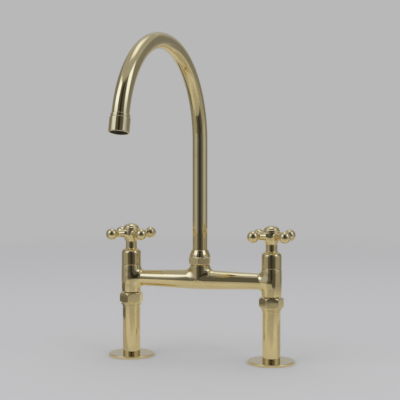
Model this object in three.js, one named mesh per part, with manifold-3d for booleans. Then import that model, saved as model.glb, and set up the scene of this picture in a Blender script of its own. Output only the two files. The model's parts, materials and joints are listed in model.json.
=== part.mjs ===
import * as THREE from 'three';
import { mergeVertices } from 'three/addons/utils/BufferGeometryUtils.js';
import Module from 'manifold-3d';

// A bridge kitchen faucet in polished brass, in millimetres, +Z up.
// The origin lies on the deck, midway between the two legs. +X runs along the bridge to the
// right-hand leg and -Y points to the person who stands at the sink.

// Deck, legs and unions
const legSpacing = 200;
const legDiameter = 24.5;
const legWall = 2.6;
const legHeight = 81.4;
const legCollarWidth = 0.3;
const legCollarHeight = 2.8;
const legThreadLength = 9.4;
const flangeDiameter = 63.6;
const flangeThickness = 3.5;
const endBushLength = 16;
const endBushBore = 13.2;
const unionNutWall = 2.05;
const nutChamferHeight = 3;
const nutFootChamfer = 2.5;
const nutLipThickness = 3.5;
const nutSkirtHeight = 2.4;
const nutSkirtDiameter = 28;
const unionWasherThickness = 1.6;
const tailFlangeThickness = 2.4;
const tailFlangeDiameter = 23.6;
const tailDiameter = 19.1;
const tailLength = 13.9;
const nutToBodyGap = 1;
const leftNutTurn = -87;
const rightNutTurn = -104;

// Bridge casting: two valve bodies, two arms and the neck under the spout
const waterwayDiameter = 12.4;
const bodyHeight = 38.2;
const bodyFootDiameter = 26.4;
const bodyWaistDiameter = 28.2;
const bodyTopDiameter = 27.4;
const armRise = 19.8;
const armEndDiameter = 22;
const armMiddleDiameter = 26.4;
const armFlare = 3;
const neckShoulderWidth = 2;
const neckRise = 20.6;
const neckThreadWall = 1.3;
const neckThreadLength = 8;
const neckFillet = 7;

// Quarter-turn valves
const chamberDiameter = 18.8;
const chamberFloorRise = 11;
const cartridgeWall = 1.8;
const cartridgeHeight = 39.8;
const cartridgeWindow = 7;
const seatSealThickness = 2.2;
const discThickness = 3;
const forkThickness = 3.6;
const spindleDiameter = 9.8;
const splineDiameter = 8;
const ringSection = 1.6;
const spindleRingRise = 14;

// Bonnets
const bonnetHeight = 20.3;
const bonnetSpigotDiameter = 21.8;
const bonnetSpigotLength = 6.2;
const bonnetNeckDiameter = 16;
const bonnetNeckHeight = 11.4;
const bonnetShoulderRound = 6;
const bonnetShoulderSlope = 1.7;

// Cross handles
const handleTurn = 46.5;
const handleArmReach = 30.2;
const handleBallDiameter = 16;
const handleArmRootDiameter = 10.2;
const handleArmTipDiameter = 8.4;
const handleArmShoulder = 12;
const handleArmNeck = 4;
const handleHubDiameter = 23.8;
const handleHubHeight = 16.5;
const handleArmRise = 11.3;
const handleSocketDepth = 9.4;
const handleWebThickness = 2;
const capDiameter = 23.2;
const capHeight = 9;
const capPlugDiameter = 16.2;
const screwHeadDiameter = 8.4;
const screwHeadHeight = 2.6;
const screwDiameter = 3.6;
const screwLength = 9;

// Swan-neck spout
const spoutTurn = 6.3;
const tubeDiameter = 20.6;
const tubeWall = 1.2;
const springHeight = 300;
const arcRadius = 122;
const arcSweep = 168;
const spigotDiameter = 16.8;
const spigotBore = 10.8;
const spigotCollarThickness = 2.4;
const spoutRingRise = 4.4;
const spoutRingPitch = 8;
const spigotPlugLength = 12;
const glideRingThickness = 1;
const spoutNutWall = 2.4;
const spoutNutDomeHeight = 9.5;
const spoutNutDomeInset = 3.2;
const spoutNutTurn = -82;
const outletCollarWall = 0.7;
const outletCollarLength = 3.9;
const aeratorWall = 1.55;
const aeratorBevel = 0.7;
const aeratorGrip = 7;
const aeratorWasherThickness = 1.4;
const aeratorInsertLength = 10.2;
const aeratorRecess = 1.8;
const aeratorJetDiameter = 2;

// Clearances
const seatGap = 0.1;
const slideGap = 0.15;
const turnGap = 0.3;

const roundSides = 20;
const innerSides = 14;
const tubeSides = 20;
const tubeSteps = 30;

// Diameters that follow the tubes they go round
const legBore = legDiameter - 2 * legWall;
const unionNutFlats = legDiameter + 2 * (turnGap + unionNutWall);
const neckThreadDiameter = tubeDiameter + 2 * neckThreadWall;
const neckDiameter = neckThreadDiameter + 2 * neckShoulderWidth;
const spigotCollarDiameter = neckThreadDiameter - 0.4;
const spoutNutFlats = neckThreadDiameter + 2 * (turnGap + spoutNutWall);

// Heights above the deck, from the bottom up
const legCollarTop = legHeight - legThreadLength;
const washerBottom = legHeight + seatGap;
const tailBottom = washerBottom + unionWasherThickness + seatGap;
const nutLipBottom = tailBottom + tailFlangeThickness + seatGap;
const nutTop = nutLipBottom + nutLipThickness;
const nutBottom = legCollarTop + turnGap;
const bodyFoot = nutTop + nutToBodyGap;
const armHeight = bodyFoot + armRise;
const bodyTop = bodyFoot + bodyHeight;
const chamberFloor = bodyFoot + chamberFloorRise;
const bonnetBase = bodyTop + turnGap;
const bonnetShoulder = bonnetBase + bonnetHeight;
const bonnetTop = bonnetShoulder + bonnetNeckHeight;
const handleBase = bonnetTop + turnGap;
const neckShoulder = armHeight + neckRise;
const neckTop = neckShoulder + neckThreadLength;
const collarBottom = neckTop + seatGap;
const collarTop = collarBottom + spigotCollarThickness;
const glideBottom = collarTop + seatGap;
const spoutLip = glideBottom + glideRingThickness + seatGap;
const spoutNutBottom = neckShoulder + turnGap;
const tubeFoot = collarTop + slideGap;

const wasm = await Module();
wasm.setup();

const brass = { color: 0xd8bd77, roughness: 0.1, metalness: 1 };
const innerBrass = { color: 0xb89a58, roughness: 0.35, metalness: 1 };
const blackRubber = { color: 0x1b1b1c, roughness: 0.7, metalness: 0 };
const whitePlastic = { color: 0xdedcd4, roughness: 0.45, metalness: 0 };
const greyPlastic = { color: 0x3b3c3d, roughness: 0.5, metalness: 0 };
const ceramic = { color: 0xe9e6df, roughness: 0.25, metalness: 0 };
const steel = { color: 0xa9a9a6, roughness: 0.3, metalness: 1 };

const faucet = new THREE.Group();

function radians(degrees) {
  return (degrees * Math.PI) / 180;
}

// Welds a geometry into one closed skin of plain positions, with its faces pointing out.
function weld(geometry) {
  const bare = geometry.clone();
  bare.deleteAttribute('normal');
  bare.deleteAttribute('uv');
  const merged = mergeVertices(bare, 1e-4);
  const at = merged.attributes.position;
  const corners = merged.index.array;
  const kept = [];
  let volume = 0;
  const a = new THREE.Vector3();
  const b = new THREE.Vector3();
  const c = new THREE.Vector3();
  for (let i = 0; i < corners.length; i += 3) {
    const [p, q, r] = [corners[i], corners[i + 1], corners[i + 2]];
    if (p === q || q === r || r === p) continue;
    a.fromBufferAttribute(at, p);
    b.fromBufferAttribute(at, q);
    c.fromBufferAttribute(at, r);
    volume += a.dot(b.cross(c));
    kept.push(p, q, r);
  }
  if (volume < 0) kept.reverse();
  merged.setIndex(kept);
  return merged;
}

function toSolid(geometry) {
  const welded = weld(geometry);
  const mesh = new wasm.Mesh({
    numProp: 3,
    vertProperties: new Float32Array(welded.attributes.position.array),
    triVerts: new Uint32Array(welded.index.array),
  });
  return new wasm.Manifold(mesh);
}

function toGeometry(solid) {
  const mesh = solid.getMesh();
  const geometry = new THREE.BufferGeometry();
  geometry.setAttribute('position', new THREE.BufferAttribute(mesh.vertProperties, 3));
  geometry.setIndex(new THREE.BufferAttribute(mesh.triVerts, 1));
  return geometry;
}

// A shape turned about Z from [radius, height] points. The outline starts and ends on the axis,
// or it closes on itself and leaves a bore.
function turned(outline, sides = roundSides) {
  const points = outline.map(([radius, height]) => new THREE.Vector2(radius, height));
  if (outline[0][0] > 0) points.push(points[0].clone());
  return new THREE.LatheGeometry(points, sides).rotateX(Math.PI / 2);
}

function ring(outer, inner, bottom, top, sides = roundSides) {
  return turned([[outer, bottom], [outer, top], [inner, top], [inner, bottom]], sides);
}

function rod(radius, bottom, top, sides = roundSides) {
  return turned([[0, bottom], [radius, bottom], [radius, top], [0, top]], sides);
}

// A six-sided bar about Z, with one corner at the given angle from +X.
function hexBar(acrossFlats, bottom, top, cornerAngle) {
  const cornerRadius = acrossFlats / Math.sqrt(3);
  const bar = new THREE.CylinderGeometry(cornerRadius, cornerRadius, top - bottom, 6);
  bar.rotateX(Math.PI / 2).rotateZ(radians(cornerAngle + 90));
  return bar.translate(0, 0, (top + bottom) / 2);
}

function place(name, geometry, finish, x = 0) {
  const mesh = new THREE.Mesh(weld(geometry), new THREE.MeshStandardMaterial(finish));
  mesh.name = name;
  mesh.position.x = x;
  faucet.add(mesh);
  return mesh;
}

// One leg: flange, tube with its collar, end bush
function legTube() {
  const outer = legDiameter / 2;
  const inner = legBore / 2;
  const collar = outer + legCollarWidth;
  const collarFoot = legCollarTop - legCollarHeight;
  return turned([
    [outer, 0],
    [outer, collarFoot],
    [collar, collarFoot + 0.4],
    [collar, legCollarTop],
    [outer, legCollarTop],
    [outer, legHeight],
    [inner, legHeight],
    [inner, 0],
  ]);
}

function deckFlange() {
  const outer = flangeDiameter / 2;
  const inner = legDiameter / 2 + slideGap;
  return turned([
    [outer, 0],
    [outer, flangeThickness - 0.5],
    [outer - 0.5, flangeThickness],
    [inner, flangeThickness],
    [inner, 0],
  ], roundSides + 12);
}

// Union nut: chamfered hexagon over a round skirt
function unionNut(cornerAngle) {
  const cornerRadius = unionNutFlats / Math.sqrt(3);
  const hexBottom = nutBottom + nutSkirtHeight;
  const skirt = nutSkirtDiameter / 2;
  const hexagon = toSolid(hexBar(unionNutFlats, nutBottom, nutTop, cornerAngle));
  const outside = toSolid(turned([
    [0, nutBottom],
    [skirt, nutBottom],
    [skirt, hexBottom],
    [cornerRadius, hexBottom + nutFootChamfer],
    [cornerRadius, nutTop - nutChamferHeight],
    [unionNutFlats / 2, nutTop],
    [0, nutTop],
  ]));
  const round = toSolid(rod(skirt, nutBottom, hexBottom + 0.5));
  const threadBore = toSolid(rod(legDiameter / 2 + turnGap, nutBottom - 1, nutLipBottom));
  const lipBore = toSolid(rod(tailDiameter / 2 + turnGap, nutBottom, nutTop + 1));
  return toGeometry(hexagon.intersect(outside).add(round).subtract(threadBore).subtract(lipBore));
}

// Union tailpiece, screwed up into the foot of a valve body
function unionTail() {
  const flange = tailFlangeDiameter / 2;
  const shank = tailDiameter / 2;
  const bore = waterwayDiameter / 2;
  const flangeTop = tailBottom + tailFlangeThickness;
  return turned([
    [flange, tailBottom],
    [flange, flangeTop],
    [shank, flangeTop],
    [shank, flangeTop + tailLength],
    [bore, flangeTop + tailLength],
    [bore, tailBottom],
  ]);
}

// The bridge casting
function valveBodyBlank() {
  const waist = bodyWaistDiameter / 2;
  const foot = bodyFootDiameter / 2;
  const top = bodyTopDiameter / 2;
  return turned([
    [0, bodyFoot],
    [foot - 0.4, bodyFoot],
    [foot, bodyFoot + 0.6],
    [foot + (waist - foot) * 0.55, bodyFoot + bodyHeight * 0.2],
    [foot + (waist - foot) * 0.95, bodyFoot + bodyHeight * 0.4],
    [waist, bodyFoot + bodyHeight * 0.6],
    [waist + (top - waist) * 0.45, bodyFoot + bodyHeight * 0.83],
    [top, bodyTop - 0.4],
    [top - 0.3, bodyTop],
    [0, bodyTop],
  ]);
}

// The arms are one round bar that swells to the middle and flares where it meets each body.
function armBlank() {
  const half = legSpacing / 2;
  const end = armEndDiameter / 2;
  const swell = (armMiddleDiameter - armEndDiameter) / 2;
  const bodyEdge = half - bodyWaistDiameter / 2;
  const stations = [0, 0.2, 0.45, 0.7];
  const side = stations.map((s) => [end + (swell * (1 + Math.cos(Math.PI * s))) / 2, s * bodyEdge]);
  side.push([end, bodyEdge - armFlare * 1.5]);
  side.push([end + armFlare * 0.25, bodyEdge - armFlare * 0.6]);
  side.push([end + armFlare * 0.6, bodyEdge + 0.4]);
  side.push([end, half - 2]);
  const mirrored = side.slice(1).reverse().map(([radius, along]) => [radius, -along]);
  const outline = [[0, 2 - half], ...mirrored, ...side, [0, half - 2]];
  const bar = turned(outline);
  return bar.rotateY(Math.PI / 2).translate(0, 0, armHeight);
}

function neckBlank() {
  const neck = neckDiameter / 2;
  const thread = neckThreadDiameter / 2;
  const armTop = armHeight + armMiddleDiameter / 2;
  const outline = [[0, armHeight], [neck + neckFillet * 0.8, armHeight]];
  for (const turn of [10, 40, 65, 90]) {
    const reach = neckFillet * (1 - Math.sin(radians(turn)));
    const climb = neckFillet * (1 - Math.cos(radians(turn)));
    outline.push([neck + reach * 0.7, armTop - neckFillet * 0.3 + climb - neckFillet * 0.3]);
  }
  outline.push([neck, neckShoulder], [thread, neckShoulder], [thread, neckTop], [0, neckTop]);
  return turned(outline);
}

function bridgeBody() {
  const half = legSpacing / 2;
  const spigotSocket = spigotDiameter / 2 + turnGap;
  let casting = toSolid(armBlank());
  const neck = toSolid(neckBlank());
  // The flare of the neck is drawn in to the width of the arms.
  const armWidth = armMiddleDiameter / 2 + 0.2;
  const trim = toSolid(new THREE.BoxGeometry(legSpacing, 2 * armWidth, legSpacing).translate(0, 0, armHeight));
  const neckTopHalf = toSolid(rod(neckDiameter / 2, armHeight, neckShoulder + 0.5));
  const neckThread = toSolid(rod(neckThreadDiameter / 2, neckShoulder, neckTop));
  casting = casting.add(neck.intersect(trim)).add(neckTopHalf.intersect(neck)).add(neckThread);
  for (const side of [-1, 1]) {
    casting = casting.add(toSolid(valveBodyBlank().translate(side * half, 0, 0)));
  }
  const waterway = rod(waterwayDiameter / 2, -half, half, innerSides);
  casting = casting.subtract(toSolid(waterway.rotateY(Math.PI / 2).translate(0, 0, armHeight)));
  const socketFloor = armHeight + waterwayDiameter / 2 - 0.3;
  casting = casting.subtract(toSolid(rod(spigotSocket, socketFloor, neckTop + 1)));
  const tailSocket = tailDiameter / 2 + slideGap;
  const tailSocketTop = tailBottom + tailFlangeThickness + tailLength + seatGap;
  const chamberRadius = chamberDiameter / 2;
  const counterbore = bonnetSpigotDiameter / 2 + slideGap;
  const counterboreFloor = bonnetBase - bonnetSpigotLength - seatGap;
  const bore = turned([
    [0, bodyFoot - 1],
    [tailSocket, bodyFoot - 1],
    [tailSocket, tailSocketTop],
    [waterwayDiameter / 2, tailSocketTop],
    [waterwayDiameter / 2, chamberFloor],
    [chamberRadius, chamberFloor],
    [chamberRadius, counterboreFloor],
    [counterbore, counterboreFloor],
    [counterbore, bodyTop + 1],
    [0, bodyTop + 1],
  ]);
  for (const side of [-1, 1]) {
    casting = casting.subtract(toSolid(bore.clone().translate(side * half, 0, 0)));
  }
  return toGeometry(casting);
}

// Quarter-turn valve, from the bottom up
const cartridgeRadius = chamberDiameter / 2 - 0.2;
const cartridgeInner = cartridgeRadius - cartridgeWall;
const cartridgeFoot = chamberFloor + seatGap;
const sealTop = cartridgeFoot + seatSealThickness;
const fixedDiscFoot = sealTop + seatGap;
const turningDiscFoot = fixedDiscFoot + discThickness + seatGap;
const forkFoot = turningDiscFoot + discThickness + seatGap;
const forkTop = forkFoot + forkThickness;
const discRadius = cartridgeInner - 0.2;
const spindleRadius = spindleDiameter / 2;
const grooveFoot = forkTop + spindleRingRise;
const grooveHeight = ringSection + 0.6;
const grooveRadius = spindleRadius - 1;
const splineFoot = bonnetTop - 0.6;
const spindleTop = handleBase + handleSocketDepth - seatGap;

function cartridge() {
  const waist = cartridgeRadius - 0.8;
  const stemBore = spindleRadius + 0.2;
  const shell = toSolid(turned([
    [cartridgeRadius, cartridgeFoot],
    [cartridgeRadius, fixedDiscFoot + 1],
    [waist, fixedDiscFoot + 1.6],
    [waist, forkTop + 3],
    [cartridgeRadius, forkTop + 3.6],
    [cartridgeRadius, cartridgeFoot + cartridgeHeight],
    [stemBore, cartridgeFoot + cartridgeHeight],
    [stemBore, forkTop + 0.2],
    [cartridgeInner, forkTop + 0.2],
    [cartridgeInner, cartridgeFoot],
  ], innerSides));
  const window = new THREE.BoxGeometry(cartridgeWindow, chamberDiameter, forkThickness);
  window.translate(0, 0, (forkFoot + forkTop) / 2);
  return toGeometry(shell.subtract(toSolid(window)));
}

function valveDisc(foot) {
  let disc = toSolid(rod(discRadius, foot, foot + discThickness, innerSides));
  for (const side of [-1, 1]) {
    const port = rod(discRadius * 0.28, foot - 1, foot + discThickness + 1, 12);
    disc = disc.subtract(toSolid(port.translate(side * discRadius * 0.52, 0, 0)));
  }
  return toGeometry(disc);
}

function spindle() {
  const spline = splineDiameter / 2;
  const screwHole = screwDiameter / 2 + 0.15;
  return turned([
    [0, forkFoot],
    [discRadius, forkFoot],
    [discRadius, forkTop],
    [spindleRadius, forkTop],
    [spindleRadius, grooveFoot],
    [grooveRadius, grooveFoot],
    [grooveRadius, grooveFoot + grooveHeight],
    [spindleRadius, grooveFoot + grooveHeight],
    [spindleRadius, splineFoot],
    [spline, splineFoot],
    [spline, spindleTop],
    [screwHole, spindleTop],
    [screwHole, spindleTop - screwLength - 1],
    [0, spindleTop - screwLength - 1],
  ], innerSides);
}

function sealRing(inner, outer, middle, section, sides) {
  const half = section / 2;
  const soft = section * 0.22;
  return turned([
    [outer - soft, middle - half],
    [outer, middle],
    [outer - soft, middle + half],
    [inner + soft, middle + half],
    [inner, middle],
    [inner + soft, middle - half],
  ], sides);
}

function bonnet() {
  const outer = bodyTopDiameter / 2;
  const neck = bonnetNeckDiameter / 2;
  const stemBore = spindleRadius + turnGap;
  const cartridgeBore = chamberDiameter / 2;
  const cartridgeTop = cartridgeFoot + cartridgeHeight + seatGap;
  const spigot = bonnetSpigotDiameter / 2;
  const round = bonnetShoulderRound;
  const shoulderTop = bonnetShoulder + bonnetShoulderSlope;
  const outline = [
    [spigot, bonnetBase - bonnetSpigotLength],
    [spigot, bonnetBase],
    [outer - 0.3, bonnetBase],
    [outer, bonnetBase + 0.4],
  ];
  for (const turn of [0, 25, 50, 74]) {
    const across = outer - round + round * Math.cos(radians(turn));
    outline.push([across, bonnetShoulder - round * 0.75 + round * Math.sin(radians(turn))]);
  }
  outline.push([neck + 0.7, shoulderTop - 0.2], [neck, shoulderTop + 0.8]);
  outline.push([neck, bonnetTop - 0.4], [neck - 0.4, bonnetTop]);
  outline.push([stemBore, bonnetTop], [stemBore, cartridgeTop]);
  outline.push([cartridgeBore, cartridgeTop], [cartridgeBore, bonnetBase - bonnetSpigotLength]);
  return turned(outline);
}

// Cross handle: hub and four ball-ended arms
function handleArm(angle) {
  const root = handleArmRootDiameter / 2;
  const tip = handleArmTipDiameter / 2;
  const ball = handleBallDiameter / 2;
  const start = handleArmShoulder / 2;
  const neckStart = handleArmReach - ball - handleArmNeck;
  const outline = [[0, start], [root, start], [root, handleArmShoulder], [tip * 1.18, neckStart]];
  const join = Math.asin(tip / ball);
  const turns = 6;
  for (let i = 0; i <= turns; i += 1) {
    const turn = join + ((Math.PI - join) * i) / turns;
    const radius = i === turns ? 0 : ball * Math.sin(turn);
    outline.push([radius, handleArmReach - ball * Math.cos(turn)]);
  }
  const points = outline.map(([radius, along]) => new THREE.Vector2(radius, along));
  const arm = new THREE.LatheGeometry(points, 12);
  return arm.rotateZ(radians(angle - 90)).translate(0, 0, handleBase + handleArmRise);
}

function crossHandle() {
  const hub = handleHubDiameter / 2;
  const foot = bonnetNeckDiameter / 2 + 0.3;
  const top = handleBase + handleHubHeight;
  let handle = toSolid(turned([
    [0, handleBase],
    [foot, handleBase],
    [foot + (hub - foot) * 0.2, handleBase + handleArmRise * 0.14],
    [foot + (hub - foot) * 0.68, handleBase + handleArmRise * 0.36],
    [foot + (hub - foot) * 0.94, handleBase + handleArmRise * 0.66],
    [hub, handleBase + handleArmRise],
    [hub, top - 0.4],
    [capDiameter / 2 + 0.1, top],
    [0, top],
  ]));
  for (let quarter = 0; quarter < 4; quarter += 1) {
    handle = handle.add(toSolid(handleArm(handleTurn + 90 * quarter)));
  }
  const webTop = handleBase + handleSocketDepth + handleWebThickness;
  const bore = turned([
    [0, handleBase - 1],
    [splineDiameter / 2 + slideGap, handleBase - 1],
    [splineDiameter / 2 + slideGap, handleBase + handleSocketDepth],
    [screwDiameter / 2 + 0.3, handleBase + handleSocketDepth],
    [screwDiameter / 2 + 0.3, webTop],
    [capPlugDiameter / 2 + slideGap, webTop],
    [capPlugDiameter / 2 + slideGap, top + 1],
    [0, top + 1],
  ]);
  return toGeometry(handle.subtract(toSolid(bore)));
}

function handleScrew() {
  const head = screwHeadDiameter / 2;
  const shank = screwDiameter / 2;
  const headFoot = handleBase + handleSocketDepth + handleWebThickness + seatGap;
  const blank = toSolid(turned([
    [0, spindleTop - screwLength],
    [shank, spindleTop - screwLength],
    [shank, headFoot],
    [head, headFoot],
    [head, headFoot + screwHeadHeight * 0.6],
    [head * 0.7, headFoot + screwHeadHeight],
    [0, headFoot + screwHeadHeight],
  ], innerSides));
  const slot = new THREE.BoxGeometry(2 * head + 1, 1, screwHeadHeight);
  slot.translate(0, 0, headFoot + screwHeadHeight);
  return toGeometry(blank.subtract(toSolid(slot)));
}

// The cap is a dome with a raised button, over a short plug that clips into the hub.
function handleCap() {
  const rim = capDiameter / 2;
  const plug = capPlugDiameter / 2;
  const foot = handleBase + handleHubHeight + seatGap;
  const webTop = handleBase + handleSocketDepth + handleWebThickness;
  return turned([
    [0, foot + 1.4],
    [plug - 1.5, foot + 1.4],
    [plug - 1.5, webTop + 1],
    [plug, webTop + 1],
    [plug, foot],
    [rim, foot],
    [rim, foot + capHeight * 0.16],
    [rim * 0.98, foot + capHeight * 0.31],
    [rim * 0.92, foot + capHeight * 0.46],
    [rim * 0.83, foot + capHeight * 0.58],
    [rim * 0.74, foot + capHeight * 0.65],
    [rim * 0.71, foot + capHeight * 0.68],
    [rim * 0.69, foot + capHeight * 0.82],
    [rim * 0.6, foot + capHeight * 0.91],
    [rim * 0.33, foot + capHeight * 0.98],
    [0, foot + capHeight],
  ]);
}

// Spout: nut, glide ring, spigot with two seal rings, tube, outlet
const spigotRadius = spigotDiameter / 2;
const spigotFoot = armHeight + waterwayDiameter / 2 + 0.6;
const spigotGroove = spigotRadius - 1.4;
const spoutRingSection = ringSection + 0.4;
const lowerRing = spigotFoot + spoutRingRise;
const grooveHeights = [lowerRing, lowerRing + spoutRingPitch];

function spoutNut() {
  const cornerRadius = spoutNutFlats / Math.sqrt(3);
  const flat = spoutNutFlats / 2;
  const tube = tubeDiameter / 2;
  const hexTop = spoutLip - 0.5;
  const top = hexTop + spoutNutDomeHeight;
  const hexagon = toSolid(hexBar(spoutNutFlats, spoutNutBottom, hexTop + 0.2, spoutNutTurn));
  const chamfer = toSolid(turned([
    [0, spoutNutBottom],
    [flat - 0.8, spoutNutBottom],
    [cornerRadius, spoutNutBottom + 2],
    [cornerRadius, hexTop - 1.4],
    [flat - 0.2, hexTop + 0.2],
    [0, hexTop + 0.2],
  ]));
  const dome = toSolid(turned([
    [0, hexTop],
    [flat, hexTop],
    [flat - spoutNutDomeInset * 0.04, hexTop + spoutNutDomeHeight * 0.13],
    [flat - spoutNutDomeInset * 0.14, hexTop + spoutNutDomeHeight * 0.28],
    [flat - spoutNutDomeInset * 0.93, top - 0.5],
    [flat - spoutNutDomeInset, top],
    [0, top],
  ]));
  const threadBore = toSolid(rod(neckThreadDiameter / 2 + turnGap, spoutNutBottom - 1, spoutLip));
  const tubeBore = toSolid(rod(tube + turnGap, spoutNutBottom, top + 1));
  return toGeometry(hexagon.intersect(chamfer).add(dome).subtract(threadBore).subtract(tubeBore));
}

function spoutSpigot() {
  const bore = spigotBore / 2;
  const collar = spigotCollarDiameter / 2;
  const plug = tubeDiameter / 2 - tubeWall - turnGap;
  const outline = [[bore, spigotFoot], [spigotRadius - 0.5, spigotFoot]];
  outline.push([spigotRadius, spigotFoot + 0.5]);
  for (const middle of grooveHeights) {
    const half = spoutRingSection / 2 + 0.2;
    outline.push([spigotRadius, middle - half], [spigotGroove, middle - half]);
    outline.push([spigotGroove, middle + half], [spigotRadius, middle + half]);
  }
  outline.push([spigotRadius, collarBottom], [collar, collarBottom], [collar, collarTop]);
  outline.push([plug, collarTop], [plug, collarTop + spigotPlugLength]);
  outline.push([bore, collarTop + spigotPlugLength]);
  return turned(outline);
}

// The centreline of the spout: straight riser, one long arc, then a short straight end that
// goes into the outlet housing.
class SpoutPath extends THREE.Curve {
  getPoint(t, target = new THREE.Vector3()) {
    const riser = springHeight - tubeFoot;
    const bend = arcRadius * radians(arcSweep);
    const travel = t * (riser + bend + aeratorGrip);
    const turn = Math.min(Math.max(travel - riser, 0), bend) / arcRadius;
    const straight = Math.max(travel - riser - bend, 0);
    const reach = arcRadius * (1 - Math.cos(turn)) + straight * Math.sin(turn);
    const rise = arcRadius * Math.sin(turn) + straight * Math.cos(turn);
    const height = tubeFoot + Math.min(travel, riser) + rise;
    const swing = radians(spoutTurn);
    return target.set(-reach * Math.sin(swing), -reach * Math.cos(swing), height);
  }
}

function circle(radius, sides, kind) {
  const points = [];
  for (let i = 0; i < sides; i += 1) {
    const turn = (2 * Math.PI * i) / sides;
    points.push(new THREE.Vector2(radius * Math.cos(turn), radius * Math.sin(turn)));
  }
  return new kind(points);
}

function spoutTube() {
  const section = circle(tubeDiameter / 2, tubeSides, THREE.Shape);
  section.holes.push(circle(tubeDiameter / 2 - tubeWall, innerSides, THREE.Path));
  const path = new SpoutPath();
  return new THREE.ExtrudeGeometry(section, { steps: tubeSteps, bevelEnabled: false, extrudePath: path });
}

// The outlet pieces are turned about Z with z = 0 at the end of the arc, then laid on its end.
function onOutlet(geometry) {
  const sweep = radians(arcSweep);
  const reach = arcRadius * (1 - Math.cos(sweep));
  const swing = radians(spoutTurn);
  const height = springHeight + arcRadius * Math.sin(sweep);
  geometry.rotateX(sweep).rotateZ(-swing);
  return geometry.translate(-reach * Math.sin(swing), -reach * Math.cos(swing), height);
}

const housingBore = tubeDiameter / 2 + turnGap;
const housingFoot = outletCollarLength + turnGap;
const insertStop = aeratorGrip + seatGap + 0.8;
const washerFoot = insertStop + seatGap;
const insertFoot = washerFoot + aeratorWasherThickness + seatGap;
const insertEnd = insertFoot + aeratorInsertLength;
const housingEnd = insertEnd + aeratorRecess;

// A plain ring brazed to the end of the tube, which the housing screws up against.
function outletCollar() {
  const outer = housingBore + outletCollarWall;
  return turned([
    [housingBore, 0],
    [outer - 0.4, 0.2],
    [outer, 1],
    [outer, outletCollarLength - 0.4],
    [outer - 0.2, outletCollarLength],
    [housingBore, outletCollarLength],
  ]);
}

function aeratorHousing() {
  const outer = housingBore + aeratorWall;
  return turned([
    [housingBore, housingFoot],
    [outer - aeratorBevel, housingFoot],
    [outer, housingFoot + aeratorBevel],
    [outer, housingEnd - 0.8],
    [outer - 0.8, housingEnd],
    [housingBore, housingEnd],
    [housingBore, insertStop],
    [housingBore - 1.4, insertStop],
    [housingBore - 1.4, aeratorGrip + seatGap],
    [housingBore, aeratorGrip + seatGap],
  ]);
}

function aeratorInsert() {
  const outer = housingBore - slideGap;
  let insert = toSolid(turned([
    [0, insertFoot],
    [outer, insertFoot],
    [outer, insertEnd],
    [outer - 1.2, insertEnd],
    [outer - 1.2, insertEnd - 1.2],
    [0, insertEnd - 1.2],
  ], innerSides));
  const jets = [[0, 1], [5, 6]];
  for (const [pitch, count] of jets) {
    for (let i = 0; i < count; i += 1) {
      const turn = (2 * Math.PI * i) / count;
      const jet = rod(aeratorJetDiameter / 2, insertFoot - 1, insertEnd + 1, 6);
      jet.translate(pitch * Math.cos(turn), pitch * Math.sin(turn), 0);
      insert = insert.subtract(toSolid(jet));
    }
  }
  return toGeometry(insert);
}

// Assembly
const sides = [
  { name: 'left', x: -legSpacing / 2, nutTurn: leftNutTurn },
  { name: 'right', x: legSpacing / 2, nutTurn: rightNutTurn },
];

for (const { name, x, nutTurn } of sides) {
  const bushOuter = legBore / 2 - slideGap;
  const washerInner = waterwayDiameter / 2 + 0.2;
  const washerOuter = tailFlangeDiameter / 2 - 0.2;
  const washerTop = washerBottom + unionWasherThickness;
  const ringMiddle = grooveFoot + grooveHeight / 2;
  place(`deck_flange_${name}`, deckFlange(), brass, x);
  place(`leg_tube_${name}`, legTube(), brass, x);
  place(`leg_end_bush_${name}`, ring(bushOuter, endBushBore / 2, 0, endBushLength), innerBrass, x);
  place(`union_washer_${name}`, ring(washerOuter, washerInner, washerBottom, washerTop), blackRubber, x);
  place(`union_tail_${name}`, unionTail(), innerBrass, x);
  place(`union_nut_${name}`, unionNut(nutTurn), brass, x);
  const seal = ring(discRadius, discRadius * 0.84, cartridgeFoot, sealTop, innerSides);
  place(`valve_seat_seal_${name}`, seal, blackRubber, x);
  place(`valve_cartridge_${name}`, cartridge(), innerBrass, x);
  place(`valve_disc_fixed_${name}`, valveDisc(fixedDiscFoot), ceramic, x);
  place(`valve_disc_turning_${name}`, valveDisc(turningDiscFoot), ceramic, x);
  place(`valve_spindle_${name}`, spindle(), innerBrass, x);
  const spindleSeal = [grooveRadius + 0.1, spindleRadius + 0.05, ringMiddle, ringSection];
  place(`spindle_ring_${name}`, sealRing(...spindleSeal, innerSides), blackRubber, x);
  place(`bonnet_${name}`, bonnet(), brass, x);
  place(`cross_handle_${name}`, crossHandle(), brass, x);
  place(`handle_screw_${name}`, handleScrew(), steel, x);
  place(`handle_cap_${name}`, handleCap(), brass, x);
}

place('bridge_body', bridgeBody(), brass);
place('spout_nut', spoutNut(), brass);
const glideInner = tubeDiameter / 2 + 0.2;
const glideOuter = neckThreadDiameter / 2;
const glideTop = glideBottom + glideRingThickness;
place('spout_glide_ring', ring(glideOuter, glideInner, glideBottom, glideTop), whitePlastic);
place('spout_spigot', spoutSpigot(), innerBrass);
grooveHeights.forEach((middle, index) => {
  const seal = sealRing(spigotGroove + 0.1, spigotRadius + 0.15, middle, spoutRingSection, roundSides);
  place(`spout_ring_${index === 0 ? 'lower' : 'upper'}`, seal, blackRubber);
});
place('spout_tube', spoutTube(), brass);
place('outlet_collar', onOutlet(outletCollar()), brass);
place('aerator_housing', onOutlet(aeratorHousing()), brass);
const washerRing = ring(housingBore - slideGap, housingBore - 2.4, washerFoot, insertFoot - seatGap);
place('aerator_washer', onOutlet(washerRing), blackRubber);
place('aerator_insert', onOutlet(aeratorInsert()), greyPlastic);

export default faucet;
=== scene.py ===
import json
import math
import bpy
import numpy as np
from mathutils import Matrix, Vector


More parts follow.
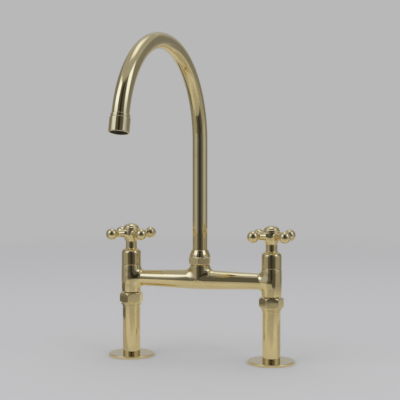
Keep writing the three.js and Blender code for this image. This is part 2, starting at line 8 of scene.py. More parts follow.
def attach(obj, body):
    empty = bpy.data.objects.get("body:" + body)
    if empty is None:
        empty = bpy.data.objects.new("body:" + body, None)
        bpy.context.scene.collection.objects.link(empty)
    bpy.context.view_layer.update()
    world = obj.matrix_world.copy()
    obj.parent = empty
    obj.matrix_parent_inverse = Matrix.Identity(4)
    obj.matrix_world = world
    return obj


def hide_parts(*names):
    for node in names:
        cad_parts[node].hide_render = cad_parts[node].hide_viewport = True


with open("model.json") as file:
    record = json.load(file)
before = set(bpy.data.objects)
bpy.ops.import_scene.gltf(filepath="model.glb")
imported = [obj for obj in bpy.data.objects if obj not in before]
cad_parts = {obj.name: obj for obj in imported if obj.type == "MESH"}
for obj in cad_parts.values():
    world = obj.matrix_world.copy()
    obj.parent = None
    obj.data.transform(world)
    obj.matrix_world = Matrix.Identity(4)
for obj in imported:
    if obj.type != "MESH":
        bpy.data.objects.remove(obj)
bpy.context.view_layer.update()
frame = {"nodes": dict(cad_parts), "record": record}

# Bridge kitchen faucet in polished brass: the fine surfaces, finishes, floor, light and camera.
# Sizes in the piece dictionaries are millimetres, and turn into metres when a mesh is made.

mm = 0.001
nodes = frame["nodes"]
bodies = frame["record"]["behaviour"]["bodies"]
bodyOfNode = {name: body for body, names in bodies.items() for name in names}
print("frame loaded,", len(nodes), "nodes")


def unit(vector):
    length = float(np.hypot(vector[0], vector[1]))
    return vector / length if length > 0 else vector


# Corners are (radius, height) or (radius, height, fillet), anticlockwise in the half plane.
# Comes back as segments (start, start normal, end, end normal).
def filletedOutline(corners, arcSteps=7, softTurn=24):
    count = len(corners)
    closed = corners[0][0] > 0
    points = []
    for index, corner in enumerate(corners):
        here = np.array(corner[:2], float)
        fillet = corner[2] if len(corner) > 2 else 0
        if fillet <= 0 or (not closed and index in (0, count - 1)):
            points.append((here, None))
            continue
        back = unit(np.array(corners[index - 1][:2], float) - here)
        ahead = unit(np.array(corners[(index + 1) % count][:2], float) - here)
        half = math.acos(max(-1.0, min(1.0, float(back @ ahead)))) / 2
        reach = fillet / math.tan(half)
        centre = here + unit(back + ahead) * fillet / math.sin(half)
        start = here + back * reach - centre
        end = here + ahead * reach - centre
        convex = -back[0] * ahead[1] + back[1] * ahead[0] > 0
        first = math.atan2(start[1], start[0])
        sweep = math.atan2(end[1], end[0]) - first
        sweep = (sweep + math.pi) % (2 * math.pi) - math.pi
        for step in range(arcSteps + 1):
            angle = first + sweep * step / arcSteps
            ray = np.array([math.cos(angle), math.sin(angle)])
            points.append((centre + ray * fillet, ray if convex else -ray))
    segments = []
    last = len(points) if closed else len(points) - 1
    for index in range(last):
        start, startNormal = points[index]
        end, endNormal = points[(index + 1) % len(points)]
        run = end - start
        if float(np.hypot(run[0], run[1])) < 1e-5:
            continue
        flat = unit(np.array([run[1], -run[0]]))
        segments.append([start, startNormal, end, endNormal, flat, float(np.hypot(run[0], run[1]))])
    # a corner without a fillet stays sharp, or is smoothed where it turns by less than softTurn
    for index, segment in enumerate(segments):
        if segment[3] is not None:
            continue
        following = segments[(index + 1) % len(segments)]
        if not closed and index == len(segments) - 1:
            segment[3] = segment[4]
            continue
        if float(segment[4] @ following[4]) > math.cos(math.radians(softTurn)):
            shared = unit(segment[4] * segment[5] + following[4] * following[5])
        else:
            shared = None
        segment[3] = shared if shared is not None else segment[4]
        following[1] = shared if shared is not None else following[4]
    for segment in segments:
        if segment[1] is None:
            segment[1] = segment[4]
    return [segment[:4] for segment in segments]


def meshObject(name, points, faces, cornerNormals=None, pointNormals=None):
    mesh = bpy.data.meshes.new(name)
    mesh.from_pydata(points.tolist(), [], faces)
    mesh.polygons.foreach_set("use_smooth", [True] * len(mesh.polygons))
    if cornerNormals is not None:
        mesh.normals_split_custom_set(cornerNormals.tolist())
    if pointNormals is not None:
        mesh.normals_split_custom_set_from_vertices(pointNormals.tolist())
    mesh.update()
    piece = bpy.data.objects.new(name, mesh)
    bpy.context.scene.collection.objects.link(piece)
    return piece


# Turns an outline round Z, then lays it where the matrix says (millimetres, turned but not scaled).
def turnedPiece(name, corners, sides=128, matrix=Matrix.Identity(4)):
    segments = filletedOutline(corners)
    angles = np.arange(sides) * 2 * math.pi / sides
    cosines, sines = np.cos(angles), np.sin(angles)
    points, faces, normals = [], [], []
    ringStart = {}

    def ringOf(place):
        key = (round(float(place[0]), 5), round(float(place[1]), 5))
        if key not in ringStart:
            ringStart[key] = len(points)
            if key[0] <= 0:
                points.append((0.0, 0.0, place[1]))
            else:
                points.extend(zip(place[0] * cosines, place[0] * sines, [place[1]] * sides))
        return ringStart[key], key[0] <= 0

    def normalAt(normal, index):
        return (normal[0] * cosines[index], normal[0] * sines[index], normal[1])

    for start, startNormal, end, endNormal in segments:
        lower, lowerPole = ringOf(start)
        upper, upperPole = ringOf(end)
        for side in range(sides):
            nextSide = (side + 1) % sides
            if lowerPole:
                faces.append((lower, upper + nextSide, upper + side))
                normals.append(normalAt(startNormal, side))
                normals += [normalAt(endNormal, nextSide), normalAt(endNormal, side)]
            elif upperPole:
                faces.append((lower + side, lower + nextSide, upper))
                normals += [normalAt(startNormal, side), normalAt(startNormal, nextSide)]
                normals.append(normalAt(endNormal, side))
            else:
                faces.append((lower + side, lower + nextSide, upper + nextSide, upper + side))
                normals += [normalAt(startNormal, side), normalAt(startNormal, nextSide)]
                normals += [normalAt(endNormal, nextSide), normalAt(endNormal, side)]
    turn = np.array(matrix.to_3x3())
    shift = np.array(matrix.translation)
    placed = (np.array(points) @ turn.T + shift) * mm
    return meshObject(name, placed, faces, cornerNormals=np.array(normals) @ turn.T)


def smoothJoin(first, second, width):
    share = np.clip(0.5 + 0.5 * (second - first) / width, 0, 1)
    return second * (1 - share) + first * share - width * share * (1 - share)


def smoothCut(first, second, width):
    return -smoothJoin(-first, -second, width)


def gridLine(low, high, step, fineAt=(), fineStep=0.14, fineBand=0.75):
    marks = [low]
    while marks[-1] < high:
        near = any(abs(marks[-1] - place) < fineBand for place in fineAt)
        marks.append(marks[-1] + (fineStep if near else step))
    return np.array(marks)


def fieldSlope(field, points, reach=0.02):
    slope = np.empty_like(points)
    for axis in range(3):
        ahead, behind = points.copy(), points.copy()
        ahead[:, axis] += reach
        behind[:, axis] -= reach
        slope[:, axis] = (field(*ahead.T) - field(*behind.T)) / (2 * reach)
    return slope


# The skin where a field of distances is zero: one point in each cell that it crosses, drawn
# onto the surface, and one face for each grid edge that it cuts.
def fieldSkin(field, xs, ys, zs, pulls=5, longestPull=0.4):
    gridX, gridY, gridZ = np.meshgrid(xs, ys, zs, indexing="ij")
    values = field(gridX, gridY, gridZ)
    inside = values < 0
    nx, ny, nz = values.shape
    cornerCount = np.zeros((nx - 1, ny - 1, nz - 1), np.int8)
    for dx in (0, 1):
        for dy in (0, 1):
            for dz in (0, 1):
                cornerCount += inside[dx:nx - 1 + dx, dy:ny - 1 + dy, dz:nz - 1 + dz]
    crossed = (cornerCount > 0) & (cornerCount < 8)
    pointAt = np.full(crossed.shape, -1, np.int64)
    cells = np.nonzero(crossed)
    pointAt[cells] = np.arange(len(cells[0]))
    axes = (xs, ys, zs)
    total = np.zeros((len(cells[0]), 3))
    hits = np.zeros(len(cells[0]))
    for axis in range(3):
        others = [other for other in range(3) if other != axis]
        for stepA in (0, 1):
            for stepB in (0, 1):
                start = [cells[0].copy(), cells[1].copy(), cells[2].copy()]
                start[others[0]] += stepA
                start[others[1]] += stepB
                end = [part.copy() for part in start]
                end[axis] += 1
                atStart, atEnd = values[tuple(start)], values[tuple(end)]
                cut = (atStart < 0) != (atEnd < 0)
                share = np.where(cut, atStart / np.where(cut, atStart - atEnd, 1), 0)
                place = np.stack([axes[k][start[k]] for k in range(3)], 1)
                length = axes[axis][end[axis]] - axes[axis][start[axis]]
                place[:, axis] += share * length
                total += place * cut[:, None]
                hits += cut
    points = total / hits[:, None]
    for pull in range(pulls):
        slope = fieldSlope(field, points)
        step = field(*points.T) / np.maximum((slope ** 2).sum(1), 1e-6)
        points -= slope * np.clip(step, -longestPull, longestPull)[:, None]
    normals = fieldSlope(field, points)
    normals /= np.maximum(np.linalg.norm(normals, axis=1), 1e-9)[:, None]
    faces = []
    for axis in range(3):
        others = [(axis + 1) % 3, (axis + 2) % 3]
        here = [slice(1, -1)] * 3
        here[axis] = slice(0, -1)
        ahead = list(here)
        ahead[axis] = slice(1, None)
        cut = inside[tuple(here)] != inside[tuple(ahead)]
        spots = list(np.nonzero(cut))
        spots[others[0]] += 1
        spots[others[1]] += 1
        outward = inside[tuple(spots)]
        quad = []
        for stepA, stepB in ((1, 1), (0, 1), (0, 0), (1, 0)):
            cell = [part.copy() for part in spots]
            cell[others[0]] -= stepA
            cell[others[1]] -= stepB
            quad.append(pointAt[tuple(cell)])
        quad = np.stack(quad, 1)
        quad[~outward] = quad[~outward][:, ::-1]
        faces.append(quad)
    return points, np.concatenate(faces), normals


def fieldPiece(name, field, xs, ys, zs, shift=(0, 0, 0)):
    points, faces, normals = fieldSkin(field, xs, ys, zs)
    return meshObject(name, (points + np.array(shift)) * mm, faces.tolist(), pointNormals=normals)


def copyPiece(source, name, shift):
    mesh = source.data.copy()
    mesh.transform(Matrix.Translation(Vector(shift) * mm))
    piece = bpy.data.objects.new(name, mesh)
    bpy.context.scene.collection.objects.link(piece)
    return piece


# Adds a node, links the inputs that are sockets and sets the others.
def shaderNode(tree, kind, inputs=None, **settings):
    node = tree.nodes.new(kind)
    for key, value in settings.items():
        setattr(node, key, value)
    for key, value in (inputs or {}).items():
        if isinstance(value, bpy.types.NodeSocket):
            tree.links.new(value, node.inputs[key])
        else:
            node.inputs[key].default_value = value
    return node


def shaderGroup(name, numbers, outputs):
    group = bpy.data.node_groups.new(name, "ShaderNodeTree")
    for label, value in numbers.items():
        socket = group.interface.new_socket(label, in_out="INPUT", socket_type="NodeSocketFloat")
        socket.default_value = value
    for label, kind in outputs.items():
        group.interface.new_socket(label, in_out="OUTPUT", socket_type=kind)
    given = group.nodes.new("NodeGroupInput")
    result = group.nodes.new("NodeGroupOutput")
    return group, given, result


# Hair lines left by polishing: three layers of long thin noise at different angles.
def makePolishLines():
    group, given, result = shaderGroup(
        "polishLines", {"Scale": 900.0, "Depth": 1.0}, {"Height": "NodeSocketFloat"})
    where = shaderNode(group, "ShaderNodeTexCoord")
    total = None
    for turn, stretch in ((0.3, 0.06), (1.25, 0.05), (2.3, 0.08)):
        laid = shaderNode(group, "ShaderNodeMapping", {
            "Vector": where.outputs["Object"], "Rotation": (turn, turn * 0.6, turn * 1.7),
            "Scale": (1.0, stretch, 1.0)})
        noise = shaderNode(group, "ShaderNodeTexNoise", {
            "Vector": laid.outputs["Vector"], "Scale": given.outputs["Scale"], "Detail": 2.0})
        lines = shaderNode(group, "ShaderNodeMapRange", {
            "Value": noise.outputs["Fac"], "From Min": 0.56, "From Max": 0.72, "To Max": 0.33})
        if total is None:
            total = lines
        else:
            total = shaderNode(group, "ShaderNodeMath", {
                0: total.outputs[0], 1: lines.outputs[0]}, operation="ADD")
    deep = shaderNode(group, "ShaderNodeMath", {
        0: total.outputs[0], 1: given.outputs["Depth"]}, operation="MULTIPLY")
    group.links.new(deep.outputs[0], result.inputs["Height"])
    return group


# Patches of handling and dried water: a soft mask from 0 to 1.
def makeHandMarks():
    group, given, result = shaderGroup(
        "handMarks", {"Scale": 60.0, "Spread": 0.5}, {"Mask": "NodeSocketFloat"})
    where = shaderNode(group, "ShaderNodeTexCoord")
    broad = shaderNode(group, "ShaderNodeTexNoise", {
        "Vector": where.outputs["Object"], "Scale": given.outputs["Scale"], "Detail": 4.0,
        "Roughness": 0.62, "Distortion": 0.6})
    low = shaderNode(group, "ShaderNodeMath", {
        0: 0.72, 1: given.outputs["Spread"]}, operation="SUBTRACT")
    soft = shaderNode(group, "ShaderNodeMapRange", {
        "Value": broad.outputs["Fac"], "From Min": low.outputs[0], "From Max": 0.78})
    group.links.new(soft.outputs[0], result.inputs["Mask"])
    return group


polishLines = makePolishLines()
handMarks = makeHandMarks()


def newMaterial(name):
    material = bpy.data.materials.new(name)
    material.use_nodes = True
    tree = material.node_tree
    shader = tree.nodes["Principled BSDF"]
    return material, tree, shader


def groupNode(tree, group, values):
    node = tree.nodes.new("ShaderNodeGroup")
    node.node_tree = group
    for key, value in values.items():
        node.inputs[key].default_value = value
    return node


# A metal whose tone and gloss change softly over the piece, with hair lines in its surface.
def metalFinish(name, look):
    material, tree, shader = newMaterial(name)
    shader.inputs["Metallic"].default_value = 1.0
    marks = groupNode(tree, handMarks, {"Scale": look["markScale"], "Spread": look["markSpread"]})
    lines = groupNode(tree, polishLines, {"Scale": look["lineScale"], "Depth": 1.0})
    tone = shaderNode(tree, "ShaderNodeMix", {
        "Factor": marks.outputs["Mask"],
        6: (*look["colour"], 1), 7: (*look["aged"], 1)}, data_type="RGBA")
    tree.links.new(tone.outputs[2], shader.inputs["Base Color"])
    gloss = shaderNode(tree, "ShaderNodeMapRange", {
        "Value": marks.outputs["Mask"], "To Min": look["roughness"], "To Max": look["markRoughness"]})
    tree.links.new(gloss.outputs[0], shader.inputs["Roughness"])
    where = shaderNode(tree, "ShaderNodeTexCoord")
    wave = shaderNode(tree, "ShaderNodeTexNoise", {
        "Vector": where.outputs["Object"], "Scale": look["waveScale"], "Detail": 1.0})
    waveBump = shaderNode(tree, "ShaderNodeBump", {
        "Height": wave.outputs["Fac"], "Strength": 1.0, "Distance": look["waveHeight"] * mm})
    lineBump = shaderNode(tree, "ShaderNodeBump", {
        "Height": lines.outputs["Height"], "Strength": 1.0, "Distance": look["lineDepth"] * mm,
        "Normal": waveBump.outputs["Normal"]})
    tree.links.new(lineBump.outputs["Normal"], shader.inputs["Normal"])
    return material


# A moulded or pressed material: grain in the tone, the gloss and the surface.
def mouldedFinish(name, look):
    material, tree, shader = newMaterial(name)
    where = shaderNode(tree, "ShaderNodeTexCoord")
    grain = shaderNode(tree, "ShaderNodeTexNoise", {
        "Vector": where.outputs["Object"], "Scale": look["grainScale"], "Detail": 3.0})
    tone = shaderNode(tree, "ShaderNodeMix", {
        "Factor": grain.outputs["Fac"],
        6: (*look["colour"], 1), 7: (*look["aged"], 1)}, data_type="RGBA")
    tree.links.new(tone.outputs[2], shader.inputs["Base Color"])
    gloss = shaderNode(tree, "ShaderNodeMapRange", {
        "Value": grain.outputs["Fac"], "To Min": look["roughness"], "To Max": look["roughness"] + 0.15})
    tree.links.new(gloss.outputs[0], shader.inputs["Roughness"])
    bump = shaderNode(tree, "ShaderNodeBump", {
        "Height": grain.outputs["Fac"], "Strength": 1.0, "Distance": look["grainHeight"] * mm})
    tree.links.new(bump.outputs["Normal"], shader.inputs["Normal"])
    return material


finishes = {
    "polished_brass": metalFinish("polishedBrass", {
        "colour": (0.97, 0.795, 0.405), "aged": (0.91, 0.73, 0.35), "roughness": 0.048,
        "markRoughness": 0.11, "markScale": 55.0, "markSpread": 0.3, "lineScale": 2600.0,
        "lineDepth": 0.0006, "waveScale": 70.0, "waveHeight": 0.03}),
    "plain_brass": metalFinish("machinedBrass", {
        "colour": (0.62, 0.46, 0.2), "aged": (0.42, 0.29, 0.12), "roughness": 0.28,
        "markRoughness": 0.45, "markScale": 120.0, "markSpread": 0.4, "lineScale": 1500.0,
        "lineDepth": 0.004, "waveScale": 200.0, "waveHeight": 0.01}),
    "steel": metalFinish("screwSteel", {
        "colour": (0.44, 0.44, 0.42), "aged": (0.3, 0.29, 0.27), "roughness": 0.24,
        "markRoughness": 0.4, "markScale": 300.0, "markSpread": 0.4, "lineScale": 2600.0,
        "lineDepth": 0.003, "waveScale": 300.0, "waveHeight": 0.01}),
    "black_rubber": mouldedFinish("blackRubber", {
        "colour": (0.012, 0.012, 0.013), "aged": (0.03, 0.029, 0.028), "roughness": 0.62,
        "grainScale": 1800.0, "grainHeight": 0.02}),
    "white_ceramic": mouldedFinish("groundCeramic", {
        "colour": (0.8, 0.78, 0.73), "aged": (0.74, 0.71, 0.65), "roughness": 0.2,
        "grainScale": 2400.0, "grainHeight": 0.004}),
    "white_plastic": mouldedFinish("whitePlastic", {
        "colour": (0.72, 0.71, 0.66), "aged": (0.66, 0.64, 0.58), "roughness": 0.4,
        "grainScale": 1500.0, "grainHeight": 0.01}),
    "grey_plastic": mouldedFinish("greyPlastic", {
        "colour": (0.035, 0.036, 0.037), "aged": (0.055, 0.055, 0.054), "roughness": 0.45,
        "grainScale": 1500.0, "grainHeight": 0.01}),
}
print("finishes made,", len(finishes))


def finishPiece(piece, replacedNode, slot="polished_brass"):
    if not piece.data.materials:
        piece.data.materials.append(finishes[slot])
    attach(piece, bodyOfNode[replacedNode])
    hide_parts(replacedNode)
    return piece


sideShift = {"left": (-100, 0, 0), "right": (100, 0, 0)}


# The straight leg tubes and the flanges on the deck.
leg = {
    "radius": 12.25, "bore": 9.65, "height": 81.4, "collarRadius": 12.55, "collarFoot": 69.2,
    "collarTop": 72.0, "collarBevel": 0.4, "flangeRadius": 31.8, "flangeThickness": 3.5, "flangeBore": 12.4,
}


def legTube():
    return turnedPiece("legTube_left", [
        (leg["radius"], 0), (leg["radius"], leg["collarFoot"], 0.5),
        (leg["collarRadius"], leg["collarFoot"] + leg["collarBevel"], 0.3),
        (leg["collarRadius"], leg["collarTop"], 0.15),
        (leg["radius"], leg["collarTop"]), (leg["radius"], leg["height"], 0.3),
        (leg["bore"], leg["height"], 0.3), (leg["bore"], 0)])


def deckFlange():
    return turnedPiece("deckFlange_left", [
        (leg["flangeRadius"], 0), (leg["flangeRadius"], leg["flangeThickness"], 1.1),
        (leg["flangeBore"], leg["flangeThickness"], 0.25), (leg["flangeBore"], 0)], sides=192)


for build, node in ((legTube, "leg_tube_"), (deckFlange, "deck_flange_")):
    original = build()
    placed = copyPiece(original, original.name.replace("_left", "_right"), sideShift["right"])
    original.data.transform(Matrix.Translation(Vector(sideShift["left"]) * mm))
    finishPiece(original, node + "left")
    finishPiece(placed, node + "right")
print("legs and flanges made")


# The hexagon nuts at the legs. Turn is the angle of a corner, in degrees.
unionNut = {
    "bottom": 72.3, "hexBottom": 74.7, "top": 89.2, "halfFlats": 14.6, "cornerRadius": 16.859,
    "crownBevel": 3.0, "footBevel": 2.5, "skirtRadius": 14.0, "threadBore": 12.55,
    "lipBottom": 85.7, "lipBore": 9.85, "edge": 0.4, "boreEdge": 0.3, "skirtJoin": 0.4,
    "overlap": 0.5, "turn": {"left": -87, "right": -104},
}


def hexagonField(x, y, halfFlats, cornerAngle, edge):
    field = None
    for step in range(3):
        angle = math.radians(cornerAngle + 30 + 60 * step)
        across = np.abs(x * math.cos(angle) + y * math.sin(angle)) - halfFlats
        field = across if field is None else smoothCut(field, across, edge)
    return field


def slopeField(radius, z, atRadius, atHeight, run, rise):
    length = math.hypot(run, rise)
    return ((radius - atRadius) * rise + (z - atHeight) * run) / length


def unionNutField(turn):
    nut = unionNut

    def field(x, y, z):
        radius = np.hypot(x, y)
        body = hexagonField(x, y, nut["halfFlats"], turn, nut["edge"])
        corner, crown, foot = nut["cornerRadius"], nut["crownBevel"], nut["footBevel"]
        crownSlope = slopeField(
            radius, z, corner, nut["top"] - crown, corner - nut["halfFlats"], crown)
        footSlope = slopeField(
            radius, z, corner, nut["hexBottom"] + foot, nut["skirtRadius"] - corner, foot)
        body = smoothCut(body, crownSlope, nut["edge"])
        body = smoothCut(body, footSlope, nut["edge"])
        body = smoothCut(body, z - nut["top"], nut["edge"])
        body = np.maximum(body, nut["hexBottom"] - nut["overlap"] - z)
        skirt = smoothCut(radius - nut["skirtRadius"], nut["bottom"] - z, nut["edge"])
        skirt = np.maximum(skirt, z - nut["hexBottom"] - nut["overlap"])
        body = smoothJoin(body, skirt, nut["skirtJoin"])
        thread = np.maximum(radius - nut["threadBore"], z - nut["lipBottom"])
        return smoothCut(body, -np.minimum(thread, radius - nut["lipBore"]), nut["boreEdge"])
    return field


for side in ("left", "right"):
    across = gridLine(-17.6, 17.6, 0.36)
    up = gridLine(71.6, 90.0, 0.36, (72.3, 74.9, 88.9))
    nutField = unionNutField(unionNut["turn"][side])
    nutPiece = fieldPiece("unionNut_" + side, nutField, across, across, up, sideShift[side])
    finishPiece(nutPiece, "union_nut_" + side)

# The hexagon nut at the foot of the spout, under its leaning dome.
spoutNut = {
    "bottom": 130.9, "hexTop": 141.8, "top": 151.3, "halfFlats": 14.3, "cornerRadius": 16.512,
    "turn": -82, "edge": 0.5, "domeFlare": 144.0, "domeLean": 0.41, "domeRound": 1.0,
    "threadBore": 11.9, "threadTop": 142.3, "tubeBore": 10.6, "footRun": 3.0, "footRise": 2.0,
    "crownRun": 2.4, "crownRise": 1.6, "crownDrop": 1.4, "overlap": 0.4, "domeFoot": 1.0,
    "topEdge": 0.5, "domeJoin": 0.5, "boreEdge": 0.3,
}


def spoutNutField(x, y, z):
    nut = spoutNut
    radius = np.hypot(x, y)
    body = hexagonField(x, y, nut["halfFlats"], nut["turn"], nut["edge"])
    corner, rise = nut["cornerRadius"], nut["footRise"]
    footSlope = slopeField(radius, z, corner, nut["bottom"] + rise, -nut["footRun"], rise)
    crownSlope = slopeField(
        radius, z, corner, nut["hexTop"] - nut["crownDrop"], nut["crownRun"], nut["crownRise"])
    body = smoothCut(body, footSlope, nut["edge"])
    body = smoothCut(body, crownSlope, nut["edge"])
    body = smoothCut(body, nut["bottom"] - z, nut["edge"])
    body = np.maximum(body, z - nut["hexTop"] - nut["overlap"])
    lean = radius - nut["halfFlats"] + nut["domeLean"] * (z - nut["domeFlare"])
    dome = smoothCut(radius - nut["halfFlats"], lean / math.hypot(1, nut["domeLean"]), nut["domeRound"])
    dome = smoothCut(dome, z - nut["top"], nut["topEdge"])
    dome = np.maximum(dome, nut["hexTop"] - nut["domeFoot"] - z)
    body = smoothJoin(body, dome, nut["domeJoin"])
    thread = np.maximum(radius - nut["threadBore"], z - nut["threadTop"])
    return smoothCut(body, -np.minimum(thread, radius - nut["tubeBore"]), nut["boreEdge"])


across = gridLine(-17.2, 17.2, 0.36)
up = gridLine(130.2, 152.0, 0.36, (130.9, 141.9, 151.3))
finishPiece(fieldPiece("spoutNut", spoutNutField, across, across, up), "spout_nut")
print("nuts made")


# The bridge casting: two valve bodies, two arms and the neck under the spout.
casting = {
    "halfSpacing": 100.0, "foot": 90.2, "top": 128.4, "footRadius": 13.2, "swell": 3.0,
    "taper": -2.5, "armHeight": 110.0, "armEnd": 11.0, "armMiddle": 13.2, "armFillet": 5.5,
    "neckRadius": 13.6, "neckShoulder": 130.6, "threadRadius": 11.6, "threadTop": 138.6,
    "neckFillet": 9.0, "edge": 0.9, "waterway": 6.2, "tailSocket": 9.7, "tailSocketTop": 99.6,
    "chamberFloor": 101.2, "chamber": 9.4, "counterbore": 11.05, "counterboreFloor": 122.4,
    "spigotSocket": 8.7, "socketFloor": 115.9, "armShort": 14.0, "threadMiddle": 130.0,
    "neckSideBlend": 0.4,
}


def castingField(x, y, z):
    part = casting
    alongBody = np.abs(x) - part["halfSpacing"]
    radius = np.hypot(alongBody, y)
    climb = (z - part["foot"]) / (part["top"] - part["foot"])
    body = radius - (part["footRadius"] + part["swell"] * climb + part["taper"] * climb ** 2)
    body = smoothCut(body, part["foot"] - z, part["edge"])
    body = smoothCut(body, z - part["top"], part["edge"])
    reach = np.clip(np.abs(x) / (part["halfSpacing"] - part["armShort"]), 0, 1)
    armSwell = part["armMiddle"] - part["armEnd"]
    armRadius = part["armEnd"] + armSwell * (1 + np.cos(math.pi * reach)) / 2
    arm = np.hypot(y, z - part["armHeight"]) - armRadius
    arm = np.maximum(arm, np.abs(x) - part["halfSpacing"])
    around = np.hypot(x, y)
    neck = np.maximum(around - part["neckRadius"], part["armHeight"] - z)
    neck = smoothCut(neck, z - part["neckShoulder"], part["edge"])
    neckBlend = part["neckSideBlend"] + part["neckFillet"] * x ** 2 / (around ** 2 + 1)
    skin = smoothJoin(arm, neck, neckBlend)
    middle = part["threadMiddle"]
    thread = np.maximum(
        around - part["threadRadius"], np.abs(z - middle) - (part["threadTop"] - middle))
    skin = np.minimum(skin, thread)
    skin = smoothJoin(skin, body, part["armFillet"])
    hollow = np.hypot(y, z - part["armHeight"]) - part["waterway"]
    hollow = np.maximum(hollow, np.abs(x) - part["halfSpacing"])
    hollow = np.minimum(hollow, np.maximum(radius - part["tailSocket"], z - part["tailSocketTop"]))
    hollow = np.minimum(hollow, np.maximum(radius - part["waterway"], z - part["chamberFloor"]))
    chamber = np.where(z > part["counterboreFloor"], part["counterbore"], part["chamber"])
    hollow = np.minimum(hollow, np.maximum(radius - chamber, part["chamberFloor"] - z))
    socket = np.maximum(around - part["spigotSocket"], part["socketFloor"] - z)
    return np.maximum(skin, -np.minimum(hollow, socket))


xs = gridLine(-115.2, 115.2, 0.74)
ys = gridLine(-15.2, 15.2, 0.74)
zs = gridLine(89.4, 139.6, 0.74, (90.4, 128.2, 130.4))
finishPiece(fieldPiece("bridgeCasting", castingField, xs, ys, zs), "bridge_body")
print("bridge casting made")


# The bonnets above the seam lines.
bonnet = {
    "base": 128.7, "radius": 13.7, "shoulder": 149.0, "neckRadius": 8.0, "neckFoot": 150.7,
    "top": 160.4, "stemBore": 5.2, "boreTop": 141.2, "cartridgeBore": 9.4, "spigotFoot": 122.5,
    "spigotRadius": 10.9,
}


def bonnetOutline():
    part = bonnet
    return [
        (part["spigotRadius"], part["spigotFoot"]), (part["spigotRadius"], part["base"]),
        (part["radius"], part["base"], 0.5), (part["radius"], part["shoulder"], 6.0),
        (part["neckRadius"], part["neckFoot"], 2.0), (part["neckRadius"], part["top"], 0.6),
        (part["stemBore"], part["top"], 0.2), (part["stemBore"], part["boreTop"]),
        (part["cartridgeBore"], part["boreTop"]), (part["cartridgeBore"], part["spigotFoot"])]


for side in ("left", "right"):
    laid = Matrix.Translation(Vector(sideShift[side]))
    finishPiece(turnedPiece("bonnet_" + side, bonnetOutline(), matrix=laid), "bonnet_" + side)
print("bonnets made")


# The cross handles and their caps.
handle = {
    "turn": 46.5, "base": 160.7, "top": 177.2, "armHeight": 172.0, "hubRadius": 11.9,
    "hubBelow": 13.5, "hubAbove": 28.4, "collarRadius": 8.2, "collarJoin": 1.5, "hubFlattest": 0.05,
    "armReach": 30.2, "ballRadius": 8.0, "armRoot": 5.1,
    "armTip": 4.2, "armStart": 12.0, "armEnd": 23.0, "ballFillet": 2.5, "hubFillet": 2.4,
    "splineBore": 4.15, "socketTop": 170.1, "screwBore": 2.1, "webTop": 172.1, "plugBore": 8.25,
    "edge": 0.8, "topEdge": 0.5,
}


def handleField(x, y, z):
    part = handle
    turn = math.radians(part["turn"])
    alongA = np.abs(x * math.cos(turn) + y * math.sin(turn))
    alongB = np.abs(-x * math.sin(turn) + y * math.cos(turn))
    along, aside = np.maximum(alongA, alongB), np.minimum(alongA, alongB)
    height = z - part["armHeight"]
    radius = np.hypot(x, y)
    stretch = np.where(height < 0, part["hubBelow"], part["hubAbove"])
    swell = np.sqrt(np.clip(1 - (height / stretch) ** 2, part["hubFlattest"], 1))
    hub = radius - part["hubRadius"] * swell
    collar = np.maximum(radius - part["collarRadius"], height)
    hub = smoothJoin(hub, collar, part["collarJoin"])
    hub = smoothCut(hub, part["base"] - z, part["edge"])
    hub = smoothCut(hub, z - part["top"], part["topEdge"])
    thinning = (part["armRoot"] - part["armTip"]) / (part["armEnd"] - part["armStart"])
    armRadius = part["armRoot"] - thinning * (along - part["armStart"])
    arm = np.hypot(aside, height) - armRadius
    arm = np.maximum(arm, along - part["armReach"])
    ball = np.sqrt((along - part["armReach"]) ** 2 + aside ** 2 + height ** 2) - part["ballRadius"]
    spoke = smoothJoin(arm, ball, part["ballFillet"])
    skin = smoothJoin(hub, spoke, part["hubFillet"])
    spline = np.maximum(radius - part["splineBore"], z - part["socketTop"])
    hollow = np.minimum(spline, np.maximum(radius - part["screwBore"], z - part["webTop"]))
    plug = np.maximum(radius - part["plugBore"], part["webTop"] - z)
    return np.maximum(skin, -np.minimum(hollow, plug))


across = gridLine(-30.8, 30.8, 0.5)
up = gridLine(159.9, 181.0, 0.5, (161.1, 177.0))
crossLeft = fieldPiece("crossHandle_left", handleField, across, across, up)
crossRight = copyPiece(crossLeft, "crossHandle_right", sideShift["right"])
crossLeft.data.transform(Matrix.Translation(Vector(sideShift["left"]) * mm))
finishPiece(crossLeft, "cross_handle_left")
finishPiece(crossRight, "cross_handle_right")

cap = {
    "foot": 177.3, "top": 186.1, "radius": 11.6, "plugRadius": 8.1, "plugFoot": 173.1,
    "plugBore": 6.6, "roof": 1.4, "rimHeight": 2.6, "stepHeight": 3.7, "buttonRadius": 10.1,
    "buttonStep": 0.3, "buttonHeight": 5.2, "shoulderHeight": 7.6, "shoulderShare": 0.67,
    "crownShare": 0.24,
}


def capOutline():
    part = cap
    foot, rim, button = part["foot"], part["radius"], part["buttonRadius"]
    return [
        (0, foot + part["roof"]), (part["plugBore"], foot + part["roof"]),
        (part["plugBore"], part["plugFoot"]), (part["plugRadius"], part["plugFoot"]),
        (part["plugRadius"], foot), (rim, foot, 0.3), (rim, foot + part["rimHeight"], 1.6),
        (button + part["buttonStep"], foot + part["stepHeight"], 0.4),
        (button, foot + part["buttonHeight"], 2.4),
        (button * part["shoulderShare"], foot + part["shoulderHeight"], 7.0),
        (button * part["crownShare"], part["top"], 12.0), (0, part["top"])]


for side in ("left", "right"):
    laid = Matrix.Translation(Vector(sideShift[side]))
    finishPiece(turnedPiece("handleCap_" + side, capOutline(), matrix=laid), "handle_cap_" + side)
print("handles and caps made")


# The spout tube follows a path. Steps count along it and sides count round it.
spout = {
    "turn": 6.3, "foot": 141.25, "spring": 300.0, "arcRadius": 122.0, "sweep": 168.0,
    "grip": 7.0, "tubeRadius": 10.3, "wall": 1.2, "steps": 180, "sides": 72,
}


